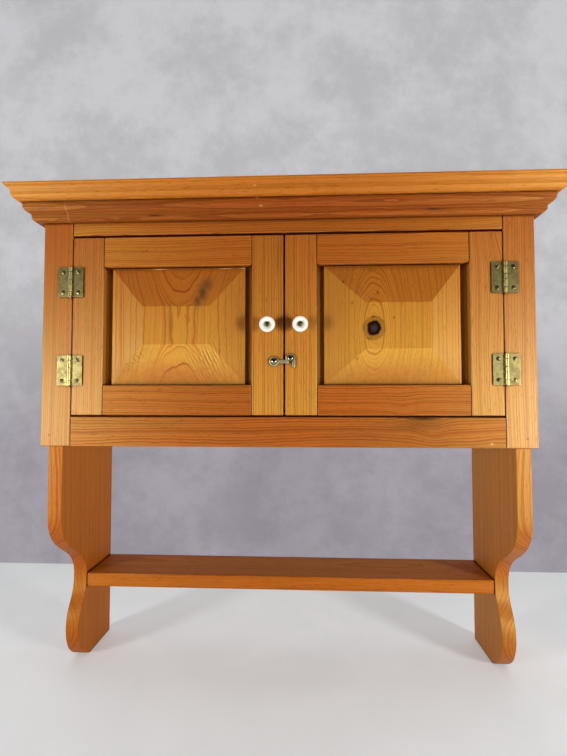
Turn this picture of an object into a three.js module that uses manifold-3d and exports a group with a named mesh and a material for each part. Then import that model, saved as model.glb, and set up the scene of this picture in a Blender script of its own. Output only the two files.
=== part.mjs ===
// A small hanging cupboard in varnished pine: two raised-panel doors on brass butt hinges, a moulded
// top, and shaped side boards that run down past the cupboard to carry an open shelf.
//
// Every length is in millimetres. The pieces are laid out in case coordinates: X to the right,
// Y from the front of the face frame back to the wall, and Z up from the soles of the feet. The last
// lines set the whole case so that its origin lies where the hanging rail meets the wall.

import * as THREE from 'three';
import { ConvexGeometry } from 'three/addons/geometries/ConvexGeometry.js';
import { mergeVertices } from 'three/addons/utils/BufferGeometryUtils.js';
import Module from 'manifold-3d';

const wasm = await Module();
wasm.setup();

// Stock and fits
const boardThickness = 19;
const frameThickness = 19;
const seam = 0.3; // between two pieces that are glued or rest on each other
const arris = 0.9; // worn corner along every edge of a board
const cutOverrun = 2; // how far a cutting shape runs past the face it opens

// Case
const faceWidth = 618.8;
const caseDepth = 177; // front of the face frame to the wall
const cupboardBottom = 314; // feet to the foot of the face frame
const frameHeight = 307.8;
const backThickness = 6.4;
const rabbetWidth = 9.5;
const housingDepth = 6;
const housingShoulder = 2.5;
const hangingRailHeight = 57;

// Face frame
const stileWidth = 38;
const topRailHeight = 37.9;
const bottomRailHeight = 37.5;

// Side boards below the cupboard, from the front edge's sweep down to the foot
const sweepTop = 222;
const waistSetback = 93;
const waistDrop = 2.7; // the waist is narrowest just below the shelf's top
const lobeSetback = 71.8;
const lobeHeight = 50;
const footSetback = 109;

// Lower shelf
const shelfThickness = 18.9;
const shelfTop = 120.7;
const shelfFrontInset = 0.8; // behind the waist

// Moulded top board, and the bed moulding that runs below it
const topThickness = 19.1;
const topOverhang = 34.9;
const topFillet = 2.2;
const coveDepth = 5.4;
const coveEnd = 13.4;
const topLip = 21.8;
const bedProjection = 19;
const bedHeight = 21.3;
const bedFillet = 6;
const bedStep = 12.6;
const bedStepBreadth = 11.2;
const bedFoot = 8.2;
const bedFootRise = 2.7;

// Doors
const hingeSideGap = 1;
const meetingGap = 2;
const meetingLine = 1.3; // the doors meet this far right of the middle
const doorTopGap = 2.6;
const doorBottomGap = 1.8;
const doorThickness = 19;
const doorStileWidth = 40;
const doorRailHeight = 38;

// Panels: a thin tongue all round, held in grooves, and a raised middle with broad bevels
const tongueSetback = 12.4;
const tongueThickness = 4;
const grooveDepth = 8;
const tongueReach = 6.5;
const shoulderSetback = 8;
const fieldSetback = 0.8;
const raisedSideGap = 9; // the tongue shows this wide beside each stile
const raisedEndGap = 0.8;
const panelFields = {
  left: { width: 86, height: 48.6, shift: -1.6, lift: 0 },
  right: { width: 80.7, height: 57.9, shift: 7, lift: -2 },
};

// Butt hinges: five knuckles, three on the frame leaf and two on the door leaf
const hingeAxisInset = 1; // the pin stands this far outside the edge of the opening
const hingeDrop = 57.9; // door's top to the middle of the upper hinge
const hingeRise = 56.8; // door's bottom to the middle of the lower hinge
const barrelRadius = 2.5;
const leafThickness = 1.4;
const leafReach = 16.2;
const outerKnuckle = 6.4;
const longKnuckle = 9.6;
const knuckleGap = 0.3;
const pinRadius = 1.2;
const pinClearance = 0.3;
const pinOverrun = 1.4;
const hingeScrewOut = 9.9;
const hingeScrewRise = 13;
const hingeScrewHeadRadius = 2.6;
const hingeScrewShankRadius = 1.2;
const hingeScrewLength = 11;

// Porcelain knobs
const knobRise = 112; // above the door's bottom
const knobFromEdge = 19.2;
const knobRadius = 9.8;
const knobFootRadius = 6.9;
const knobNeckRadius = 5;
const knobLength = 18.6;
const knobDishDepth = 2.2;
const knobDishRadius = 5.2;
const knobBoreRadius = 2.2;
const knobScrewHeadRadius = 3.4;
const knobScrewHeadHeight = 2;
const knobScrewShankRadius = 1.7;
const knobScrewGrip = 13;

// Hook latch: the hook turns on the left door and drops over the catch on the right one
const latchPivotFromEdge = 11.7;
const latchPivotRise = 67.6; // above the door's bottom
const catchFromEdge = 6.8;
const catchRise = 3.6; // the catch stands this far above the pivot
const hookThickness = 1.6;
const hookEyeRadius = 6.3;
const hookBarWidth = 4.8;
const hookBarDrop = 0.5;
const hookSlotClearance = 0.6;
const hookArchRadius = 6.2;
const hookTabLength = 11.6;
const hookRound = 0.5;
const latchHeadRadius = 4.2;
const latchHeadHeight = 3;
const latchShankRadius = 1.5;
const latchScrewGrip = 12;
const latchClearance = 0.4;

// Screw slots, and how finely round pieces are faceted
const slotBreadth = 0.9;
const slotDepth = 0.8;
const smallRoundSides = 20;
const knobSides = 36;
const curveSteps = 20;
const hingeSlotTurns = [40, -35, 15, 52, -48, 35, 8, -52, 30, 60, -20, 45, -60, 25, 70, -40];

// Sizes that follow from those above
const caseHeight = cupboardBottom + frameHeight; // feet to the underside of the top board
const halfFace = faceWidth / 2;
const innerHalf = halfFace - boardThickness;
const openingHalf = halfFace - stileWidth;
const openingTop = caseHeight - topRailHeight;
const openingBottom = cupboardBottom + bottomRailHeight;
const boardFront = frameThickness + seam;
const floorTop = openingBottom;
const floorBottom = floorTop - boardThickness;
const shelfBottom = shelfTop - shelfThickness;
const shelfSetback = waistSetback + shelfFrontInset;
const waistHeight = shelfTop - waistDrop;
const panelBack = caseDepth - backThickness;
const doorTop = openingTop - doorTopGap;
const doorBottom = openingBottom + doorBottomGap;
const panelTop = doorTop - doorRailHeight;
const panelBottom = doorBottom + doorRailHeight;
const hingeHeights = { upper: doorTop - hingeDrop, lower: doorBottom + hingeRise };
const hingeHeight = 3 * outerKnuckle + 2 * longKnuckle;
const knobHeight = doorBottom + knobRise;
const latchPivotHeight = doorBottom + latchPivotRise;
const hingeAxisX = openingHalf + hingeAxisInset;
const hingeAxisY = -seam - barrelRadius;
const hangingHeight = caseHeight - hangingRailHeight / 2;
const doorSides = { left: -1, right: 1 };

// Colours and finishes
function finish(color, roughness, metalness) {
  return new THREE.MeshStandardMaterial({ color, roughness, metalness });
}

const honeyPine = finish(0xc07a30, 0.42, 0);
const amberPine = finish(0xb06a28, 0.42, 0);
const panelPine = finish(0xbf8038, 0.4, 0);
const insidePine = finish(0xc99a5c, 0.6, 0);
const agedBrass = finish(0x9a8a4a, 0.34, 1);
const darkBrass = finish(0x5f5530, 0.36, 1);
const porcelain = finish(0xf2efe6, 0.12, 0);

// Solids that can be joined and cut
function solid(geometry) {
  const bare = geometry.clone();
  bare.deleteAttribute('normal');
  bare.deleteAttribute('uv');
  const merged = mergeVertices(bare);
  const vertProperties = new Float32Array(merged.attributes.position.array);
  const triVerts = new Uint32Array(merged.index.array);
  return new wasm.Manifold(new wasm.Mesh({ numProp: 3, vertProperties, triVerts }));
}

function geometryOf(body) {
  const mesh = body.getMesh();
  const geometry = new THREE.BufferGeometry();
  geometry.setAttribute('position', new THREE.BufferAttribute(mesh.vertProperties, 3));
  geometry.setIndex(new THREE.BufferAttribute(mesh.triVerts, 1));
  geometry.computeVertexNormals();
  return geometry;
}

function shaped(base, { add = [], cut = [] }) {
  let body = solid(base);
  for (const piece of add) body = body.add(solid(piece));
  for (const piece of cut) body = body.subtract(solid(piece));
  return geometryOf(body);
}

// A plain box between two corners, used for tongues and cuts.
function block(low, high) {
  const size = high.map((value, axis) => value - low[axis]);
  const geometry = new THREE.BoxGeometry(...size);
  return geometry.translate(...size.map((value, axis) => low[axis] + value / 2));
}

// A planed board between two corners, with every arris taken off.
function board(low, high) {
  const [width, depth, height] = high.map((value, axis) => value - low[axis]);
  const outline = new THREE.Shape();
  outline.moveTo(arris, 0);
  outline.lineTo(width - arris, 0);
  outline.lineTo(width, arris);
  outline.lineTo(width, depth - arris);
  outline.lineTo(width - arris, depth);
  outline.lineTo(arris, depth);
  outline.lineTo(0, depth - arris);
  outline.lineTo(0, arris);
  outline.closePath();
  const geometry = new THREE.ExtrudeGeometry(outline, easedExtrusion(height, arris, 1));
  return geometry.translate(low[0], low[1], low[2] + arris);
}

function easedExtrusion(length, ease, bevelSegments) {
  return {
    depth: length - 2 * ease,
    steps: 1,
    curveSegments: curveSteps,
    bevelEnabled: true,
    bevelThickness: ease,
    bevelSize: ease,
    bevelOffset: -ease,
    bevelSegments,
  };
}

// Axes for a shape that is drawn across the case (Y to the right, Z up) and runs along X.
const alongX = new THREE.Matrix4().makeBasis(
  new THREE.Vector3(0, 1, 0),
  new THREE.Vector3(0, 0, 1),
  new THREE.Vector3(1, 0, 0),
);

// Axes for a shape that is drawn on the front (X to the right, Z up) and grows towards the viewer.
const towardsViewer = new THREE.Matrix4().makeBasis(
  new THREE.Vector3(1, 0, 0),
  new THREE.Vector3(0, 0, 1),
  new THREE.Vector3(0, -1, 0),
);

// Round pieces are turned about an axis that points out of the front, towards the viewer.
function turned(profile, [x, y, z], sides) {
  const points = profile.map(([radius, out]) => new THREE.Vector2(radius, out));
  const geometry = new THREE.LatheGeometry(points, sides);
  return geometry.rotateX(Math.PI).translate(x, y, z);
}

// A straight hole or shank through the front face, from one depth to another.
function roundAlongY(radius, x, z, front, back) {
  const geometry = new THREE.CylinderGeometry(radius, radius, back - front, smallRoundSides);
  return geometry.translate(x, (front + back) / 2, z);
}

function roundAlongZ(radius, x, y, low, high) {
  const geometry = new THREE.CylinderGeometry(radius, radius, high - low, smallRoundSides);
  return geometry.rotateX(Math.PI / 2).translate(x, y, (low + high) / 2);
}

function mesh(name, geometry, material) {
  const piece = new THREE.Mesh(geometry, material);
  piece.name = name;
  return piece;
}

// Side boards
// The front edge drops straight, sweeps back to a waist at the shelf, swells into a lobe and turns
// under to the foot. Each stretch is one curve, and its handles are shares of the stretch.
const sweepHandleShares = [0.6, 0.5];
const lobeHandleShare = 0.5;
const footCurveShares = { drop: 0.44, reach: 0.32, rise: 0.18 };

function sideOutline() {
  const outline = new THREE.Shape();
  const sweep = sweepTop - waistHeight;
  const lobe = (waistHeight - lobeHeight) * lobeHandleShare;
  const foot = footSetback - lobeSetback;
  const { drop, reach, rise } = footCurveShares;
  outline.moveTo(caseDepth, 0);
  outline.lineTo(caseDepth, caseHeight - seam);
  outline.lineTo(boardFront, caseHeight - seam);
  outline.lineTo(boardFront, sweepTop);
  outline.bezierCurveTo(
    boardFront, sweepTop - sweep * sweepHandleShares[0],
    waistSetback, waistHeight + sweep * sweepHandleShares[1],
    waistSetback, waistHeight,
  );
  outline.bezierCurveTo(
    waistSetback, waistHeight - lobe,
    lobeSetback, lobeHeight + lobe,
    lobeSetback, lobeHeight,
  );
  outline.bezierCurveTo(
    lobeSetback, lobeHeight - lobeHeight * drop,
    lobeSetback + foot * reach, lobeHeight * rise,
    footSetback, 0,
  );
  outline.closePath();
  return outline;
}

function sideBoard(side) {
  const geometry = new THREE.ExtrudeGeometry(sideOutline(), easedExtrusion(boardThickness, arris, 2));
  geometry.applyMatrix4(alongX);
  const outer = Math.min(side * halfFace, side * innerHalf);
  geometry.translate(outer + arris, 0, 0);
  const housing = (front, bottom, top) => acrossInside(side, front, bottom, top);
  return shaped(geometry, {
    cut: [
      housing(shelfSetback + housingDepth, shelfBottom, shelfTop),
      housing(boardFront + housingDepth, floorBottom, floorTop),
      backRabbet(side),
    ],
  });
}

// A groove across the inner face of a side board, which a shelf's tongue slides into from the back.
function acrossInside(side, front, bottom, top) {
  const [low, high] = ordered(side * (innerHalf - cutOverrun), side * (innerHalf + housingDepth));
  return block(
    [low, front, bottom + housingShoulder - seam],
    [high, caseDepth + cutOverrun, top - housingShoulder + seam],
  );
}

function backRabbet(side) {
  const [low, high] = ordered(side * (innerHalf - cutOverrun), side * (innerHalf + rabbetWidth));
  return block([low, panelBack - seam, floorBottom], [high, caseDepth + cutOverrun, caseHeight + cutOverrun]);
}

function ordered(a, b) {
  return [Math.min(a, b), Math.max(a, b)];
}

// A shelf between the side boards, with a tongue in each of their grooves.
function housedShelf(front, back, bottom, top) {
  const tongues = [-1, 1].map((side) => {
    const ends = ordered(side * (innerHalf - 2 * housingDepth), side * (innerHalf + housingDepth - seam));
    return block(
      [ends[0], front + housingDepth + seam, bottom + housingShoulder],
      [ends[1], back, top - housingShoulder],
    );
  });
  const body = board([seam - innerHalf, front, bottom], [innerHalf - seam, back, top]);
  return shaped(body, { add: tongues });
}

function backPanel() {
  const half = innerHalf + rabbetWidth - seam;
  return board([-half, panelBack, floorBottom + seam], [half, caseDepth, caseHeight - seam]);
}

function hangingRail() {
  const top = caseHeight - seam;
  const low = [seam - innerHalf, panelBack - seam - boardThickness, top - hangingRailHeight];
  return board(low, [innerHalf - seam, panelBack - seam, top]);
}

// Face frame: the stiles run the full height and the rails fit between them.
function faceStile(side) {
  const [left, right] = ordered(side * openingHalf, side * halfFace);
  const body = board([left, 0, cupboardBottom], [right, frameThickness, caseHeight - seam]);
  const holes = Object.values(hingeHeights).flatMap((height) => hingePilotHoles(side, side, height));
  return shaped(body, { cut: holes });
}

function faceRail(bottom, top) {
  const half = openingHalf - seam;
  return board([-half, 0, bottom], [half, frameThickness, top]);
}

// The moulded edge of the top board, from its upper arris down, as distances out and down.
const topStepShare = 0.25;
const ovoloShares = { out: 0.3, down: 0.75 };

function topEdge() {
  const coveStart = topOverhang - topFillet / 2;
  const coveTop = topFillet + topFillet / 2;
  const stepOut = coveStart - coveDepth - topFillet * topStepShare;
  const stepDown = coveEnd + topFillet * topStepShare;
  const edge = new THREE.Shape();
  edge.moveTo(topOverhang, 0);
  edge.lineTo(topOverhang, topFillet);
  edge.lineTo(coveStart, coveTop);
  edge.absellipse(coveStart, coveEnd, coveDepth, coveEnd - coveTop, -Math.PI / 2, Math.PI, true);
  edge.lineTo(stepOut, stepDown);
  edge.quadraticCurveTo(
    stepOut - (stepOut - topLip) * ovoloShares.out,
    stepDown + (topThickness - stepDown) * ovoloShares.down,
    topLip,
    topThickness,
  );
  return edge.getPoints(curveSteps / 2).map((point) => [point.x, point.y]);
}

function polygon(points) {
  return new THREE.Shape(points.map(([x, y]) => new THREE.Vector2(x, y)));
}

// The board is what two extrusions share: one has the front edge's outline, the other the ends'.
function topBoard() {
  const top = caseHeight + topThickness;
  const reach = halfFace + topOverhang;
  const frontEdge = topEdge().map(([out, down]) => [-out, top - down]);
  const rightEnd = topEdge().map(([out, down]) => [halfFace + out, top - down]);
  const leftEnd = rightEnd.map(([x, z]) => [-x, z]).reverse();
  const across = polygon([[caseDepth, top], ...frontEdge, [caseDepth, caseHeight]]);
  const acrossBody = new THREE.ExtrudeGeometry(across, plainExtrusion(2 * (reach + cutOverrun)));
  acrossBody.applyMatrix4(alongX).translate(-reach - cutOverrun, 0, 0);
  const endsBody = new THREE.ExtrudeGeometry(
    polygon([...rightEnd, ...leftEnd]),
    plainExtrusion(caseDepth + topOverhang + 2 * cutOverrun),
  );
  endsBody.applyMatrix4(towardsViewer).translate(0, caseDepth + cutOverrun, 0);
  return geometryOf(solid(acrossBody).intersect(solid(endsBody)));
}

function plainExtrusion(length) {
  return { depth: length, steps: 1, curveSegments: curveSteps / 2, bevelEnabled: false };
}

// Bed moulding: distances out from the case and up from its own foot.
const bedOvoloShares = { out: 0.15, down: 0.6 };

function bedSection() {
  const top = caseHeight - seam;
  const bottom = caseHeight - bedHeight;
  const filletFoot = top - bedFillet;
  const stepTop = top - bedStep;
  const outline = new THREE.Shape();
  outline.moveTo(seam, bottom);
  outline.lineTo(bedFoot, bottom);
  outline.lineTo(bedStepBreadth - seam, bottom + bedFootRise);
  outline.lineTo(bedStepBreadth, stepTop);
  outline.quadraticCurveTo(
    bedProjection - (bedProjection - bedStepBreadth) * bedOvoloShares.out,
    filletFoot - (filletFoot - stepTop) * bedOvoloShares.down,
    bedProjection - seam,
    filletFoot,
  );
  outline.lineTo(bedProjection, top);
  outline.lineTo(seam, top);
  outline.closePath();
  return outline;
}

// A run of bed moulding. Its section points out along outward, and each end is cut to the place that
// endAt gives for a distance out, so that a mitre is exact.
function bedRun(origin, outward, endAt) {
  const up = new THREE.Vector3(0, 0, 1);
  const run = new THREE.Vector3().crossVectors(outward, up);
  const geometry = new THREE.ExtrudeGeometry(bedSection(), plainExtrusion(1));
  const places = geometry.attributes.position;
  for (let index = 0; index < places.count; index += 1) {
    const out = places.getX(index);
    const point = origin.clone().addScaledVector(outward, out).addScaledVector(up, places.getY(index));
    point.addScaledVector(run, endAt(out, places.getZ(index)));
    places.setXYZ(index, point.x, point.y, point.z);
  }
  geometry.computeVertexNormals();
  return geometry;
}

function bedFront() {
  const origin = new THREE.Vector3(0, 0, 0);
  const mitre = (out, end) => (end === 0 ? -1 : 1) * (halfFace + out - seam);
  return bedRun(origin, new THREE.Vector3(0, -1, 0), mitre);
}

function bedReturn(side) {
  const origin = new THREE.Vector3(side * halfFace, 0, 0);
  const front = (out) => side * out;
  const endAt = (out, end) => ((side > 0) === (end === 0) ? -side * caseDepth : front(out));
  return bedRun(origin, new THREE.Vector3(side, 0, 0), endAt);
}

// Hinges
function knuckleSpans(height) {
  const lengths = [outerKnuckle, longKnuckle, outerKnuckle, longKnuckle, outerKnuckle];
  let top = height + hingeHeight / 2;
  return lengths.map((length) => {
    const span = [top - length, top];
    top -= length;
    return span;
  });
}

function hingeScrewPlaces(side, reachSide, height) {
  const x = side * hingeAxisX + reachSide * hingeScrewOut;
  return [1, -1].map((rise) => [x, height + rise * hingeScrewRise]);
}

function hingePilotHoles(side, reachSide, height) {
  const back = hingeScrewLength + 2 * seam;
  return hingeScrewPlaces(side, reachSide, height).map(([x, z]) => (
    roundAlongY(hingeScrewShankRadius + 2 * seam, x, z, -cutOverrun, back)
  ));
}

// One leaf: a plate that reaches from the pin to reachSide, with its own knuckles, notched for the
// other leaf's, bored for the pin and countersunk for two screws.
function hingeLeaf(side, reachSide, height, ownKnuckles) {
  const x = side * hingeAxisX;
  const spans = knuckleSpans(height);
  const [left, right] = ordered(x, x + reachSide * leafReach);
  const plate = block(
    [left, -seam - leafThickness, height - hingeHeight / 2 + knuckleGap / 2],
    [right, -seam, height + hingeHeight / 2 - knuckleGap / 2],
  );
  const add = [];
  const cut = [];
  spans.forEach(([low, high], index) => {
    const own = ownKnuckles.includes(index);
    const gap = own ? -knuckleGap / 2 : knuckleGap / 2;
    const radius = own ? barrelRadius : barrelRadius + pinClearance;
    (own ? add : cut).push(roundAlongZ(radius, x, hingeAxisY, low - gap, high + gap));
  });
  const bore = pinRadius + pinClearance;
  cut.push(roundAlongZ(bore, x, hingeAxisY, height - hingeHeight, height + hingeHeight));
  for (const [screwX, screwZ] of hingeScrewPlaces(side, reachSide, height)) {
    cut.push(countersink(screwX, screwZ));
  }
  return shaped(plate, { add, cut });
}

function countersink(x, z) {
  const front = hingeScrewHeadRadius + seam;
  const back = hingeScrewShankRadius + seam;
  const profile = [
    [0, -cutOverrun],
    [back, -cutOverrun],
    [back, 0],
    [front, leafThickness],
    [front, leafThickness + cutOverrun],
    [0, leafThickness + cutOverrun],
  ];
  return turned(profile, [x, -seam, z], smallRoundSides);
}

function hingePin(side, height) {
  const low = height - hingeHeight / 2 - pinOverrun;
  const high = height + hingeHeight / 2;
  return roundAlongZ(pinRadius, side * hingeAxisX, hingeAxisY, low, high);
}

// Screws are turned in one profile, measured out from the place where the head's flat side sits.
function slotted(profile, place, crown, turn, reach) {
  const body = turned(profile, place, smallRoundSides);
  const slot = new THREE.BoxGeometry(2 * reach + cutOverrun, slotDepth + cutOverrun, slotBreadth);
  slot.translate(0, cutOverrun / 2 - slotDepth / 2, 0);
  slot.rotateX(Math.PI).rotateY(THREE.MathUtils.degToRad(turn));
  slot.translate(place[0], place[1] - crown, place[2]);
  return shaped(body, { cut: [slot] });
}

// A countersunk screw whose head lies flush with the leaf's front.
function hingeScrew([x, z], turn) {
  const headOut = leafThickness;
  const profile = [
    [0, -hingeScrewLength],
    [hingeScrewShankRadius, -hingeScrewLength + 2 * hingeScrewShankRadius],
    [hingeScrewShankRadius, 0],
    [hingeScrewHeadRadius, headOut],
    [0, headOut + seam],
  ];
  return slotted(profile, [x, -seam, z], headOut, turn, hingeScrewHeadRadius);
}

// A round-headed screw: the head's flat side lies at seat, which is how far it stands out.
function roundScrew(x, z, seat, headRadius, headHeight, shankRadius, grip, turn) {
  const profile = [
    [0, -seat - grip],
    [shankRadius, -seat - grip + 2 * shankRadius],
    [shankRadius, 0],
    [headRadius, 0],
  ];
  const domeSteps = 4;
  for (let step = 1; step <= domeSteps; step += 1) {
    const angle = (Math.PI / 2) * (step / domeSteps);
    const radius = step < domeSteps ? headRadius * Math.cos(angle) : 0;
    profile.push([radius, headHeight * Math.sin(angle)]);
  }
  return slotted(profile, [x, -seat, z], headHeight, turn, headRadius);
}

// Knobs: a flared foot, a neck and a dished head. The bore takes the screw.
const knobProfileShares = [
  [0, 1, 'foot'],
  [0.1, 1, 'foot'],
  [0.17, 0.86, 'foot'],
  [0.36, 1, 'neck'],
  [0.5, 1.16, 'neck'],
  [0.62, 0.88, 'head'],
  [0.72, 0.99, 'head'],
  [0.8, 1, 'head'],
  [0.9, 0.96, 'head'],
  [0.97, 0.86, 'head'],
  [1, 0.75, 'head'],
];

function knob(x) {
  const radii = { foot: knobFootRadius, neck: knobNeckRadius, head: knobRadius };
  const outer = knobProfileShares.map(([lengthShare, radiusShare, part]) => (
    [radii[part] * radiusShare, knobLength * lengthShare]
  ));
  const dishFloor = knobLength - knobDishDepth;
  const profile = [
    [knobBoreRadius, 0],
    ...outer,
    [knobDishRadius, dishFloor + knobDishDepth / 2],
    [knobDishRadius - knobDishDepth / 2, dishFloor],
    [knobBoreRadius, dishFloor],
    [knobBoreRadius, 0],
  ];
  return turned(profile, [x, -seam, knobHeight], knobSides);
}

function knobScrew(x, turn) {
  const seat = knobLength - knobDishDepth + 2 * seam;
  return roundScrew(
    x, knobHeight, seat, knobScrewHeadRadius, knobScrewHeadHeight,
    knobScrewShankRadius, knobScrewGrip, turn,
  );
}

// Hook latch
const hookSeat = 2 * seam + hookThickness + latchClearance;

// The hook is drawn about its pivot, with the catch to the right of it and a little higher.
function hookOutline(catchOut) {
  const eye = hookEyeRadius;
  const barTop = hookBarWidth / 2 - hookBarDrop;
  const barBottom = -hookBarWidth / 2 - hookBarDrop;
  const topTurn = Math.asin(barTop / eye);
  const bottomTurn = Math.asin(barBottom / eye);
  const slotHalf = latchShankRadius + hookSlotClearance;
  const slotLeft = catchOut - slotHalf;
  const slotRight = catchOut + slotHalf;
  const archTurn = Math.asin((catchRise - barTop) / hookArchRadius);
  const outline = new THREE.Shape();
  outline.absarc(0, 0, eye, topTurn, 2 * Math.PI + bottomTurn, false);
  outline.lineTo(slotLeft, barBottom);
  outline.lineTo(slotLeft, catchRise);
  outline.absarc(catchOut, catchRise, slotHalf, Math.PI, 0, true);
  outline.lineTo(slotRight, catchRise - hookTabLength + slotHalf);
  const tabRadius = (hookArchRadius - slotHalf) / 2;
  const tabX = slotRight + tabRadius;
  outline.absarc(tabX, catchRise - hookTabLength + tabRadius, tabRadius, Math.PI, 2 * Math.PI, false);
  outline.lineTo(catchOut + hookArchRadius, catchRise);
  outline.absarc(catchOut, catchRise, hookArchRadius, 0, Math.PI + archTurn, false);
  outline.closePath();
  const hole = new THREE.Path();
  hole.absarc(0, 0, latchShankRadius + hookSlotClearance, 0, 2 * Math.PI, true);
  outline.holes.push(hole);
  return outline;
}

function hook(pivotX, catchX) {
  const settings = { ...easedExtrusion(hookThickness, hookRound, 1), curveSegments: curveSteps / 2 };
  settings.depth = hookThickness - hookRound;
  const outline = hookOutline(catchX - pivotX);
  const geometry = new THREE.ExtrudeGeometry(outline, settings);
  geometry.applyMatrix4(towardsViewer);
  return geometry.translate(pivotX, -2 * seam, latchPivotHeight);
}

// Doors
function doorEdges(side) {
  const hinged = side * (openingHalf - hingeSideGap);
  const meeting = meetingLine + (side * meetingGap) / 2;
  return { hinged, meeting };
}

// A stile stands between two X places and is grooved on the edge that faces the panel.
function doorStile(outerX, side, holes) {
  const innerX = outerX + side * doorStileWidth;
  const [left, right] = ordered(outerX, innerX);
  const body = board([left, 0, doorBottom], [right, doorThickness, doorTop]);
  const [grooveLow, grooveHigh] = ordered(innerX - side * grooveDepth, innerX + side * cutOverrun);
  const groove = block(
    [grooveLow, tongueSetback - seam, doorBottom - cutOverrun],
    [grooveHigh, tongueSetback + tongueThickness + seam, doorTop + cutOverrun],
  );
  return shaped(body, { cut: [groove, ...holes] });
}

// A rail fits between the stiles, with a short tenon in each groove and a groove of its own.
function doorRail(left, right, bottom, top, panelAbove) {
  const body = board([left + seam, 0, bottom], [right - seam, doorThickness, top]);
  const tenonReach = grooveDepth - seam;
  const tenon = block(
    [left - tenonReach, tongueSetback, bottom],
    [right + tenonReach, tongueSetback + tongueThickness, top],
  );
  const edge = panelAbove ? top : bottom;
  const inward = panelAbove ? -1 : 1;
  const [low, high] = ordered(edge + inward * grooveDepth, edge - inward * cutOverrun);
  const groove = block(
    [left - grooveDepth, tongueSetback - seam, low],
    [right + grooveDepth, tongueSetback + tongueThickness + seam, high],
  );
  return shaped(body, { add: [tenon], cut: [groove] });
}

// The panel's tongue is a thin sheet. The raised middle is the hull of its foot, its shoulder and the
// flat field, so the four bevels meet along hips.
function doorPanel(left, right, field) {
  const tongue = block(
    [left - tongueReach, tongueSetback, panelBottom - tongueReach],
    [right + tongueReach, tongueSetback + tongueThickness, panelTop + tongueReach],
  );
  const footX = [left + raisedSideGap, right - raisedSideGap];
  const footZ = [panelBottom + raisedEndGap, panelTop - raisedEndGap];
  const middleX = (left + right) / 2 + field.shift;
  const middleZ = (panelBottom + panelTop) / 2 + field.lift;
  const fieldX = [middleX - field.width / 2, middleX + field.width / 2];
  const fieldZ = [middleZ - field.height / 2, middleZ + field.height / 2];
  const points = [
    ...rectangleAt(tongueSetback + tongueThickness / 2, footX, footZ),
    ...rectangleAt(shoulderSetback, footX, footZ),
    ...rectangleAt(fieldSetback, fieldX, fieldZ),
  ];
  return shaped(tongue, { add: [new ConvexGeometry(points)] });
}

function rectangleAt(y, xs, zs) {
  return xs.flatMap((x) => zs.map((z) => new THREE.Vector3(x, y, z)));
}

function doorPieces(name, side) {
  const { hinged, meeting } = doorEdges(side);
  const inward = -side;
  const knobX = meeting + side * knobFromEdge;
  const latchX = meeting + side * (side < 0 ? latchPivotFromEdge : catchFromEdge);
  const latchZ = latchPivotHeight + (side < 0 ? 0 : catchRise);
  const hingeHoles = Object.values(hingeHeights).flatMap((z) => hingePilotHoles(side, inward, z));
  const knobHole = roundAlongY(
    knobScrewShankRadius + seam, knobX, knobHeight, -cutOverrun, knobScrewGrip + seam,
  );
  const latchHole = roundAlongY(
    latchShankRadius + seam, latchX, latchZ, -cutOverrun, latchScrewGrip + seam,
  );
  const [left, right] = ordered(hinged + inward * doorStileWidth, meeting + side * doorStileWidth);
  const title = `door_${name}`;
  const knobTurn = side < 0 ? 8 : 0;
  return [
    mesh(`${title}_hinge_stile`, doorStile(hinged, inward, hingeHoles), amberPine),
    mesh(`${title}_meeting_stile`, doorStile(meeting, side, [knobHole, latchHole]), amberPine),
    mesh(`${title}_rail_top`, doorRail(left, right, panelTop, doorTop, false), amberPine),
    mesh(`${title}_rail_bottom`, doorRail(left, right, doorBottom, panelBottom, true), amberPine),
    mesh(`${title}_panel`, doorPanel(left, right, panelFields[name]), panelPine),
    mesh(`knob_${name}`, knob(knobX), porcelain),
    mesh(`knob_screw_${name}`, knobScrew(knobX, 90 + knobTurn), darkBrass),
    mesh(side < 0 ? 'latch_pivot_screw' : 'latch_catch_screw', latchScrew(latchX, latchZ), darkBrass),
  ];
}

function latchScrew(x, z) {
  return roundScrew(
    x, z, hookSeat, latchHeadRadius, latchHeadHeight, latchShankRadius, latchScrewGrip, 90,
  );
}

function hingePieces() {
  const pieces = [];
  let turn = 0;
  for (const [name, side] of Object.entries(doorSides)) {
    for (const [level, height] of Object.entries(hingeHeights)) {
      const title = `hinge_${name}_${level}`;
      pieces.push(mesh(`${title}_frame_leaf`, hingeLeaf(side, side, height, [0, 2, 4]), agedBrass));
      pieces.push(mesh(`${title}_door_leaf`, hingeLeaf(side, -side, height, [1, 3]), agedBrass));
      pieces.push(mesh(`${title}_pin`, hingePin(side, height), darkBrass));
      for (const [leaf, reachSide] of [['frame', side], ['door', -side]]) {
        hingeScrewPlaces(side, reachSide, height).forEach((place, index) => {
          const screw = hingeScrew(place, hingeSlotTurns[turn]);
          turn += 1;
          pieces.push(mesh(`${title}_${leaf}_screw_${index + 1}`, screw, darkBrass));
        });
      }
    }
  }
  return pieces;
}

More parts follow.
